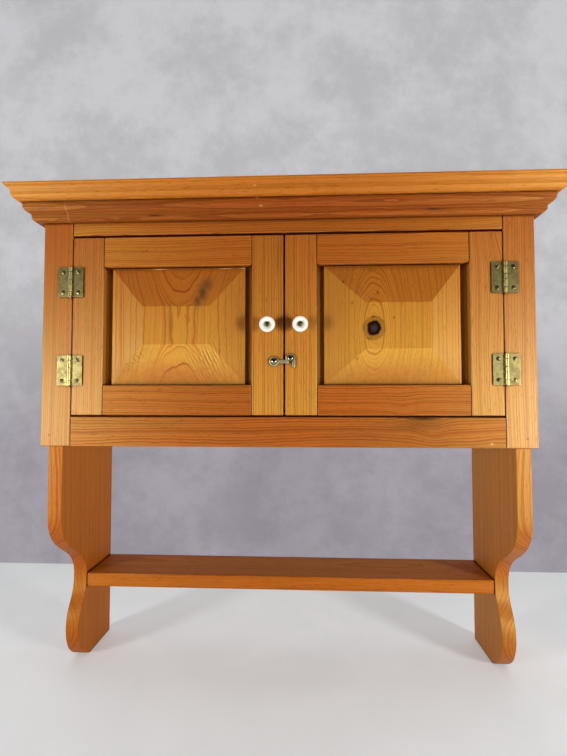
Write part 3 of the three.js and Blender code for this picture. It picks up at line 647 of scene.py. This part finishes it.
def flat_faces(piece, smooth):
    """Smooths rounded corners only, so that the big faces beside them stay flat."""
    only(piece)
    bpy.ops.object.shade_smooth_by_angle(angle=math.radians(smooth))
    shaped(piece, "WEIGHTED_NORMAL", keep_sharp=True)


def hand_over(piece, node, material, body):
    """Gives a finished piece its material and its moving group, and hides the measured node it stands
    for.
    """
    piece.data.materials.clear()
    piece.data.materials.append(material)
    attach(piece, body)
    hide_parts(node)


def softened(node, material, body, round_off=0.3, segments=2, least=30, smooth=25):
    """Dresses a measured piece in a copy of itself with rounded corners."""
    piece = bpy.data.objects.new("dressed_" + node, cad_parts[node].data.copy())
    bpy.context.collection.objects.link(piece)
    only(piece)
    bpy.ops.object.mode_set(mode="EDIT")
    bpy.ops.mesh.select_all(action="SELECT")
    bpy.ops.mesh.customdata_custom_splitnormals_clear()
    bpy.ops.mesh.remove_doubles(threshold=0.02 * MM)
    bpy.ops.mesh.dissolve_limited(angle_limit=math.radians(0.6))
    bpy.ops.object.mode_set(mode="OBJECT")
    rolled(piece, round_off, segments, least)
    flat_faces(piece, smooth)
    hand_over(piece, node, material, body)


# %% [markdown]
# ## The case
#
# The face frame's stiles stand the full height with the rails between them. Their grain is fine
# and straight, cut near the edge of the tree. The bottom rail has a wavy figure round a knot
# that was cut away, and the crown's lower moulding is a darker, redder board. Only the outside
# was varnished and polished: the back and the cupboard's floor are bare.

# %% Case boards
side_board = dict(grain="side", ring=3.2, wander=10, tones=TEA, stain=0.7, share=0.45, firm=0.35)
unfinished = dict(tones=BARE, shine=0.2, coat=0)
lower_moulding = dict(heart=(40, 70), ring=2.2, wander=10, tones=RUSSET, shine=0.35, coat=0.15)
case_boards = {
    "face_stile_left": dict(
        heart=(-95, 45), ring=2.3, tones=GOLD, shine=0.72, coat=0.38, firm=0.4,
        marks=[mark(-298.1, 328.2, 1.3, 1.3), mark(-312, 470, 3, 60, 0.25, "rust")]),
    "face_stile_right": dict(
        heart=(110, 40), ring=2.5, tones=STRAW, shine=0.75, coat=0.66, firm=0.45,
        marks=[mark(296.4, 325.6, 1.3, 1.3)]),
    "face_rail_top": dict(grain="level", heart=(60, 55), ring=2.0, wander=12),
    "face_rail_bottom": dict(
        grain="level", heart=(-50, 60), ring=1.9, wander=14, tones=EMBER, stain=0.7, share=0.5,
        knots=[bend(182, 357, 10, -5), bend(150, 358, 8, 2.5)],
        marks=[mark(253.6, 319.4, 2, 0.9, 0.7, "pale"), mark(171, 349.8, 20, 2.6, 0.85),
               mark(166, 342, 34, 8, 0.42, "rust")]),
    "side_left": side_board | dict(heart=(-100, 85), shine=0.34, coat=0.07),
    "side_right": side_board | dict(heart=(-100, -85), shine=0.56, coat=0.24),
    "lower_shelf": dict(grain="flat", heart=(20, -80), ring=3.4, wander=16, tones=AMBER, stain=0.6,
                        share=0.35, shine=0.22, coat=0.1, firm=0.3),
    "cupboard_floor": unfinished | dict(grain="flat", heart=(-30, 120), ring=3.4, wander=12),
    "back_panel": unfinished | dict(heart=(40, 140), ring=3.6, wander=14),
    "hanging_rail": unfinished | dict(grain="level", heart=(70, 60), ring=3.0, wander=10),
    "top_board": dict(
        grain="flat", heart=(-60, 90), ring=1.5, wander=6, tones=AMBER, share=0.32, shine=0.5,
        firm=0.3, marks=[mark(-33, 632, 1.6, 0.7, 0.8, "pale", -36),
                         mark(-118, 630, 1.0, 0.8, 0.6, "rust", -36)]),
    "bed_moulding_front": lower_moulding | dict(grain="level", marks=[
        mark(-273, 610, 0.7, 12, 0.25, "pale", -10), mark(-31, 621, 1.3, 0.8, 0.7, "pale", -10),
        mark(-27, 612, 2.0, 0.6, 0.7, "pale", -10), mark(-161, 604.4, 11, 1.2, 0.8, "soot", -10),
        mark(185, 606, 13, 1.2, 0.8, "soot", -10)]),
    "bed_moulding_left": lower_moulding | dict(grain="return"),
    "bed_moulding_right": lower_moulding | dict(grain="return"),
}
case_finishes = {node: pine(node, **looks) for node, looks in case_boards.items()}
for node, material in case_finishes.items():
    softened(node, material, "carcass")
print("case boards:", len(case_boards))

# %% [markdown]
# ## The doors
#
# Each door is a frame of two stiles and two rails round a raised panel. The left panel shows
# plain arches, cut from the outer side of the tree, and the right one has a knot. The painted
# corner shade and dirt reach further over the panels, but thinner, and the strokes on their lower
# bevels are torn grain, with painted glints among them on the left panel.

# %% Door boards
meeting_stile = dict(ring=2.2, tones=GOLD, shine=0.84, coat=0.32, reach=8)
door_rail = dict(grain="level", wander=12, reach=8)
raised_panel = dict(reach=10, shade_and_soil=0.72)
PITCH_FLECKS = [(75.5, 521.5), (86.4, 494), (92.3, 423.8), (81.1, 403.1), (109.5, 537.2),
                (118.2, 507.1), (137.6, 475)]
door_boards = {
    "door_left_hinge_stile": dict(
        heart=(-80, 50), ring=2.3, tones=GOLD, shine=0.8, coat=0.52, firm=0.4),
    "door_left_meeting_stile": meeting_stile | dict(
        heart=(90, 60), marks=[mark(-6.5, 550, 0.5, 22, 0.8)]),
    "door_left_rail_top": door_rail | dict(
        heart=(90, 60), ring=2.1, tones=GOLD,
        marks=[mark(-174.3, 563, 1.2, 1.2), mark(-72.6, 572.9, 1.2, 1.2, 0.4)]),
    "door_left_rail_bottom": door_rail | dict(heart=(-90, 50), ring=2.0, tones=EMBER),
    "door_left_panel": raised_panel | dict(
        heart=(3, 100), ring=2.8, wander=7, tones=PEACH, stain=0.6, share=0.26, shine=0.92,
        marks=[mark(-97, 520, 8, 9, 0.55, "violet"), mark(-103, 509, 6, 11, 0.7, "violet"),
               mark(-109, 498, 5, 9, 0.6, "violet"), mark(-143.5, 468, 3.0, 26, 0.45, "rust"),
               # The wide tan bands darken the bevels and dull their gloss; on the lower bevel they are
               # partly painted shade. The pale marks at 541 mm are painted glints along the panel's top
               # edge.
               mark(-135, 398, 130, 27, 0.64, "tan", 9), mark(-62, 470, 26, 90, 0.3, "tan", 9),
               mark(-184, 470, 24, 90, 0.2, "tan", 9), mark(-160, 541, 9, 0.6, 0.8, "pale"),
               mark(-74, 541, 8, 0.6, 0.7, "pale"), mark(-50, 541, 6, 0.6, 0.8, "pale")],
        # The pale strokes are painted glints on the torn grain, and the rust ones are the torn grain
        # itself.
        torn_grain_and_glints=[(-191, 423, 28, 7, 43, 2.8, 0.9, "rust"), (-98, 425, 20, 22, 25, 4.2, 0.36, "pale"),
                 (-99.5, 424, 20, 22, 25, 4.2, 0.7, "rust")]),
    "door_right_hinge_stile": dict(
        heart=(70, 60), ring=2.3, tones=STRAW, shine=0.78, coat=0.62, firm=0.5,
        knots=[bend(262, 592, 14, 7)]),
    "door_right_meeting_stile": meeting_stile | dict(heart=(-90, 50)),
    "door_right_rail_top": door_rail | dict(heart=(-90, 60), ring=2.2, tones=GOLD),
    "door_right_rail_bottom": door_rail | dict(
        heart=(80, 60), ring=2.0, tones=EMBER, knots=[bend(147, 350, 9, 4)]),
    "door_right_panel": raised_panel | dict(
        heart=(-23, -42), ring=1.5, wander=4, tones=STRAW, shine=1.0,
        knots=[bend(113.1, 461.8, 13, 5, shown=True)],
        marks=[mark(x, z, 1.3, 2.4, 0.75, "rust") for x, z in PITCH_FLECKS] + [
            # The wide tan bands darken the bevels and dull their gloss; on the lower bevel they are
            # partly painted shade.
            mark(109.4, 449.5, 1.8, 4, 0.6, "rust"), mark(135, 398, 130, 27, 0.62, "tan", 9),
            mark(62, 470, 28, 90, 0.32, "tan", 9)],
        torn_grain_and_glints=[(178, 415, 34, 14, -30, 2.3, 0.6, "rust")]),
}
door_finishes = {node: pine(node, **looks) for node, looks in door_boards.items()}
for node, material in door_finishes.items():
    body = "door_left" if node.startswith("door_left") else "door_right"
    if node.endswith("panel"):
        softened(node, material, body, least=4, smooth=3)
    else:
        softened(node, material, body)
print("door boards:", len(door_boards))


# %% [markdown]
# ## Brass and porcelain
#
# Old brass is olive where it has tarnished and pale yellow where fingers rub it. The hinges'
# barrels carry a painted highlight, and rounded edges are paler, partly worn and partly a painted
# highlight. The hinges' screws have gone nearly black, and the hook and the knobs' screws are
# paler and duller.
# Porcelain is hard and white under a clear glaze, with a faint grey in the glaze where it has
# pooled and crazed.


# %% Brass finishes
def brass(name, bright, dull, rubbed, gloss=(0.42, 0.3), barrel_at=None):
    """Tarnished brass. gloss is its roughness where it is tarnished and where it is bright.

    barrel_at says how far a hinge's barrel stands from the cupboard's middle, in mm: the barrel
    gets a painted highlight there, paler than the leaves.
    """
    material, tree, shader = new_finish(name)
    where = in_millimetres(tree)
    tarnish = ramp(tree, noise(tree, where, 0.11, 4.0, 0.6), [(0.35, 0.0), (0.65, 1.0)])
    colour = wash(tree, paint(*dull), tarnish, rubbed, paint(*bright))
    spots = ramp(tree, noise(tree, where, 0.9, 2.0), [(0.6, 0.0), (0.72, 1.0)])
    colour = wash(tree, colour, spots, 0.5, paint(70, 58, 26))
    # Edges turn paler, partly wear and partly a painted highlight.
    wear_and_highlight = use(tree, rubbed_and_lit_corner, {"Place": where}).outputs["Mask"]
    colour = wash(tree, colour, wear_and_highlight, 0.5, paint(226, 206, 140))
    # Corners and hollows darken, partly tarnish gathered there and partly painted shade.
    shade_and_dirt = use(tree, shade_and_grime, {"Reach": 1.5 * MM}).outputs["Mask"]
    colour = wash(tree, colour, shade_and_dirt, 0.7, paint(44, 34, 16))
    roughness = spread(tree, tarnish, 0.0, 1.0, *gloss)
    # The barrel gets a painted highlight: paler, and a trace rougher.
    if barrel_at:
        sideways = sums(tree, "ABSOLUTE", add(tree, "SeparateXYZ", {0: where}).outputs["X"])
        sideways = sums(tree, "ABSOLUTE", sums(tree, "SUBTRACT", sideways, barrel_at))
        barrel = spread(tree, sideways, 2.3, 2.8, 1.0, 0.0)
        roughness = sums(tree, "MULTIPLY_ADD", barrel, 0.02, roughness)
        colour = wash(tree, colour, barrel, 0.5, paint(240, 222, 144))
    bumps = add(tree, "Bump", {"Height": spots, "Strength": 0.15, "Distance": 0.1 * MM})
    fill(tree, shader, {"Base Color": colour, "Roughness": roughness, "Metallic": 1.0,
                        "Normal": bumps.outputs[0]})
    return material


HINGE_X = 272.4  # each hinge pin's distance from the cupboard's middle, in mm
hinge_brass = brass("hinge brass", (162, 150, 98), (118, 106, 64), 0.9, (0.42, 0.36), HINGE_X)
pin_brass = brass("pin brass", (176, 156, 92), (104, 90, 48), 0.8)
screw_brass = brass("screw brass", (98, 86, 48), (42, 36, 20), 0.7, (0.45, 0.35))
latch_brass = brass("latch brass", (222, 210, 164), (158, 146, 104), 0.9, (0.5, 0.42))
latch_screw_brass = brass("latch screw brass", (170, 168, 140), (48, 46, 34), 0.8, (0.16, 0.1))
knob_screw_brass = brass("knob screw brass", (190, 184, 140), (84, 78, 48), 0.85, (0.3, 0.2))
print("metals:", [m.name for m in bpy.data.materials if m.name.endswith("brass")])

# %% Porcelain
porcelain, tree, shader = new_finish("porcelain")
where = in_millimetres(tree)
pooled = ramp(tree, noise(tree, where, 0.12, 2.0), [(0.35, 0.0), (0.7, 1.0)])
glaze = blend(tree, pooled, paint(251, 246, 232), paint(240, 233, 216))
# The glaze darkens in the hollows round the foot and the screw, partly dirt and partly painted shade.
shade_and_dirt = use(tree, shade_and_grime, {"Reach": 2.5 * MM}).outputs["Mask"]
glaze = wash(tree, glaze, shade_and_dirt, 0.6, paint(120, 112, 96))
cells = add(tree, "TexVoronoi", {"Vector": where, "Scale": 0.55}, feature="DISTANCE_TO_EDGE")
crazed = ramp(tree, cells.outputs[0], [(0.0, 1.0), (0.03, 0.0)])
bumps = add(tree, "Bump", {"Height": pooled, "Strength": 0.05, "Distance": 0.2 * MM})
fill(tree, shader, {
    "Base Color": wash(tree, glaze, crazed, 0.14, paint(130, 116, 90)),
    "Roughness": spread(tree, pooled, 0.0, 1.0, 0.08, 0.14), "IOR": 1.55, "Normal": bumps.outputs[0]})
print("glaze:", porcelain.name)

# %% [markdown]
# ## Turning on a lathe
#
# Screws and knobs are round, so one outline spun about its axis makes them. A plane is merged
# into a single vertex, the vertex is drawn out along the outline, and Spin does the rest. The
# outline is given as pairs: how far from the axis, and how far out towards the viewer.

# %% Spin an outline
TURNED = math.radians(32)  # on turned brass and glaze, edges sharper than this stay crisp


def spun(name, outline, segments):
    """A turned piece about the Y axis, which points away from the viewer, made at the origin."""
    bpy.ops.object.select_all(action="DESELECT")
    points = [Vector((radius, -out, 0)) * MM for radius, out in outline]
    bpy.ops.mesh.primitive_plane_add(size=0.001, location=points[0])
    piece = made(name)
    bpy.ops.object.mode_set(mode="EDIT")
    bpy.ops.mesh.select_all(action="SELECT")
    bpy.ops.mesh.merge(type="CENTER")
    for start, end in zip(points, points[1:]):
        bpy.ops.mesh.extrude_vertices_move(TRANSFORM_OT_translate={"value": end - start})
    bpy.ops.mesh.select_all(action="SELECT")
    bpy.ops.mesh.spin(steps=segments, angle=math.tau, center=(0, 0, 0), axis=(0, 1, 0))
    bpy.ops.mesh.select_all(action="SELECT")
    bpy.ops.mesh.remove_doubles(threshold=0.01 * MM)
    bpy.ops.mesh.normals_make_consistent(inside=False)
    bpy.ops.object.mode_set(mode="OBJECT")
    bpy.ops.object.shade_smooth_by_angle(angle=TURNED)
    return piece


def combined(piece, other, operation):
    """Cuts another shape out of the piece, or joins it on, and throws the other shape away."""
    shaped(piece, "BOOLEAN", object=other, operation=operation, solver="EXACT")
    bpy.data.objects.remove(other)


def block(name, low, high):
    """A plain block between two corners in millimetres, as a start or a cutter."""
    bpy.ops.object.select_all(action="DESELECT")
    low, high = Vector(low) * MM, Vector(high) * MM
    bpy.ops.mesh.primitive_cube_add(size=1, location=(low + high) / 2, scale=high - low)
    return made(name)


def settle(pattern, node, place, turn, material, body, flip=False):
    """Copies a finished pattern to its place, turned in the door's plane, for one measured node."""
    piece = pattern.copy()
    piece.data = pattern.data.copy()
    bpy.context.collection.objects.link(piece)
    only(piece)
    piece.location = place
    piece.rotation_euler = (0, math.radians(turn), 0)
    piece.scale = (-1 if flip else 1, 1, 1)
    made("dressed_" + node)
    if flip:
        bpy.ops.object.mode_set(mode="EDIT")
        bpy.ops.mesh.select_all(action="SELECT")
        bpy.ops.mesh.customdata_custom_splitnormals_clear()
        bpy.ops.mesh.normals_make_consistent(inside=False)
        bpy.ops.object.mode_set(mode="OBJECT")
        flat_faces(piece, 30)
    hand_over(piece, node, material, body)


# %% [markdown]
# ## Screws
#
# The hinges have countersunk screws, the knobs and the latch round-headed ones. Each kind is
# turned once, its slot is cut with a block, and the rest are copies. The shank shows only if a
# hinge is taken off, but its thread costs little: a saw-tooth outline.

# %% Screw patterns
SLOT_HALF, SLOT_DEEP = 0.45, 0.8


def thread(shank, tip, top=-1.0, pitch=0.8):
    """A saw-tooth outline from the tip of a screw up to the plain part under its head."""
    outline = [(0, -tip), (shank * 0.35, -tip + pitch)]
    out = -tip + 2 * pitch
    while out < top:
        outline += [(shank * 0.78, out), (shank, out + pitch / 2)]
        out += pitch
    return outline + [(shank, top)]


def slot_cut(screw, crown, reach):
    """Cuts the driver's slot into a head that stands out as far as its crown."""
    slot = block("slot", (-reach, -crown - 2, -SLOT_HALF), (reach, -crown + SLOT_DEEP, SLOT_HALF))
    combined(screw, slot, "DIFFERENCE")
    bpy.ops.object.shade_smooth_by_angle(angle=TURNED)
    return screw


def dome(radius, height, steps=8):
    """The outline of a round head, from its rim to its crown."""
    angles = [math.pi / 2 * step / steps for step in range(steps + 1)]
    return [(radius * math.cos(a), height * math.sin(a)) for a in angles]


flat_screw = slot_cut(spun("flat screw", thread(1.2, 11) + [
    (1.2, 0), (2.5, 1.3), (2.6, 1.38), (2.5, 1.45), (1.6, 1.58), (0.8, 1.66), (0, 1.7)], 32), 1.7, 4)
knob_screw = slot_cut(spun("knob screw", thread(1.7, 13) + [(1.7, 0), (3.2, 0)] + dome(3.4, 2), 40), 2, 5)
latch_screw = slot_cut(
    spun("latch screw", thread(1.5, 12) + [(1.5, 0), (4.0, 0)] + dome(4.2, 3), 40), 3, 6)
print("screw patterns:", [len(s.data.polygons) for s in (flat_screw, knob_screw, latch_screw)], "faces")

# %% [markdown]
# ## Hinges
#
# A butt hinge is two brass leaves that curl round one pin: five knuckles, three on the leaf that
# is screwed to the frame and two on the door's. A leaf starts as a plate. Wider cylinders cut
# room for the other leaf's knuckles, plain ones add its own, and the screw holes are countersunk.

# %% Hinge leaves
GAP = 0.3  # the measured pieces keep this apart where they meet
PIN_OUT = 2.8  # how far the pin stands in front of the face frame
LEAF_REACH, LEAF_FRONT, LEAF_BACK = 16.2, -1.7 + PIN_OUT, -GAP + PIN_OUT
BARREL, PIN_BORE, KNUCKLES = 2.5, 1.5, (6.4, 9.6, 6.4, 9.6, 6.4)
HINGE_HALF = sum(KNUCKLES) / 2
SCREW_REACH, SCREW_RISE = 9.9, 13  # from the pin, and from the hinge's middle
END_GAP = 0.5  # between the ends of two knuckles and the line where they meet


def rod(name, radius, low, high):
    """An upright cylinder about the hinge's axis, in millimetres."""
    bpy.ops.object.select_all(action="DESELECT")
    bpy.ops.mesh.primitive_cylinder_add(vertices=40, radius=radius * MM, depth=(high - low) * MM,
                                        location=(0, 0, (low + high) / 2 * MM))
    return made(name)


def hinge_leaf(name, own):
    """A leaf that reaches to the right of a pin at the origin. own lists its knuckles, top first."""
    leaf = block(name, (0, LEAF_FRONT, -HINGE_HALF + 0.15), (LEAF_REACH, LEAF_BACK, HINGE_HALF - 0.15))
    top = HINGE_HALF
    spans = []
    for length in KNUCKLES:
        spans.append((top - length, top))
        top -= length
    for index, (low, high) in enumerate(spans):
        if index not in own:
            room = rod("room", BARREL + GAP, low - END_GAP, high + END_GAP)
            combined(leaf, room, "DIFFERENCE")
    for index in own:
        low, high = spans[index]
        combined(leaf, rod("knuckle", BARREL, low + END_GAP, high - END_GAP), "UNION")
    combined(leaf, rod("bore", PIN_BORE, -HINGE_HALF - 2, HINGE_HALF + 2), "DIFFERENCE")
    for rise in (SCREW_RISE, -SCREW_RISE):
        sink = spun("countersink", [(0, -4), (1.5, -4), (1.5, 0), (2.9, 1.4), (2.9, 4), (0, 4)], 32)
        sink.location = Vector((SCREW_REACH, LEAF_BACK, rise)) * MM
        only(sink)
        combined(leaf, made("countersink"), "DIFFERENCE")
    rolled(leaf, 0.18, 2, 40)
    flat_faces(leaf, 30)
    return leaf


frame_leaf = hinge_leaf("frame leaf", (0, 2, 4))
door_leaf = hinge_leaf("door leaf", (1, 3))

# The pin: a rod with a small button at its lower end.
hinge_pin = rod("hinge pin", 1.2, -HINGE_HALF - 1.4, HINGE_HALF)
rolled(hinge_pin, 0.4, 3, 30)
bpy.ops.object.shade_smooth_by_angle(angle=math.radians(40))
print("leaves:", len(frame_leaf.data.polygons), len(door_leaf.data.polygons), "faces")

# %% Hang the hinges
HINGE_HEIGHTS = {"upper": 523.4, "lower": 410.1}
SLOT_TURNS = iter([40, -35, 15, 52, -48, 35, 8, -52, 30, 60, -20, 45, -60, 25, 70, -40])
for name, side in (("left", -1), ("right", 1)):
    for level, height in HINGE_HEIGHTS.items():
        title, door = f"hinge_{name}_{level}", "door_" + name
        place = on_case(side * HINGE_X, -PIN_OUT, height)
        settle(frame_leaf, title + "_frame_leaf", place, 0, hinge_brass, "carcass", flip=side < 0)
        settle(door_leaf, title + "_door_leaf", place, 0, hinge_brass, door, flip=side > 0)
        settle(hinge_pin, title + "_pin", place, 0, pin_brass, "carcass")
        for leaf, outwards, body in (("frame", side, "carcass"), ("door", -side, door)):
            for number, rise in ((1, SCREW_RISE), (2, -SCREW_RISE)):
                spot_x = side * HINGE_X + outwards * SCREW_REACH
                settle(flat_screw, f"{title}_{leaf}_screw_{number}",
                       on_case(spot_x, -GAP, height + rise), next(SLOT_TURNS), screw_brass, body)
print("hinges hung:", 2 * len(HINGE_HEIGHTS))

# %% [markdown]
# ## Porcelain knobs
#
# A knob has a flared foot, a waist and a dished head with a soft rim, and one screw through its
# middle. A few points of its outline are enough: Subdivision Surface rounds what lies between.

# %% Knobs
knob_pattern = spun("knob", [
    (2.2, 0), (6.8, 0), (6.9, 0.25), (6.9, 1.9), (6.1, 3.2), (5.0, 5.2), (4.9, 7.2), (5.6, 9.2),
    (8.3, 11.1), (9.7, 13.0), (9.9, 15.0), (9.6, 17.0), (8.4, 18.4), (7.0, 18.6), (5.9, 18.3),
    (5.1, 17.2), (4.3, 16.5), (2.6, 16.4), (2.2, 16.2), (2.2, 0.3), (2.2, 0)], 40)
shaped(knob_pattern, "SUBSURF", levels=2, render_levels=2)
bpy.ops.object.shade_smooth()
KNOB_HEIGHT, DISH = 465.3, 16.7  # DISH is how far out the screw's head sits in the knob
for name, x, turn in (("left", -18.9, 78), ("right", 21.5, 100)):
    body = "door_" + name
    settle(knob_pattern, "knob_" + name, on_case(x, -GAP, KNOB_HEIGHT), 0, porcelain, body)
    head = on_case(x, -GAP - DISH, KNOB_HEIGHT)
    settle(knob_screw, "knob_screw_" + name, head, turn, knob_screw_brass, body)
print("knob faces:", len(knob_pattern.data.polygons))

# %% [markdown]
# ## The latch
#
# A flat hook turns on a screw in the left door, and its arch drops over a screw in the right
# one. The hook is cut from sheet, so its measured outline is kept and only its edges are rolled.

# %% Latch
for node, body in (("latch_pivot_screw", "door_left"), ("latch_catch_screw", "door_right")):
    low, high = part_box(node)
    head = Vector(((low.x + high.x) / 2, on_case(0, -2.6, 0).y, (low.z + high.z) / 2))
    settle(latch_screw, node, head, 86, latch_screw_brass, body)
softened("latch_hook", latch_brass, "hook", round_off=0.22, segments=3, smooth=35)
for pattern in (flat_screw, knob_screw, latch_screw, frame_leaf, door_leaf, hinge_pin, knob_pattern):
    bpy.data.objects.remove(pattern)
print("latch seated at", round(head.z, 4))
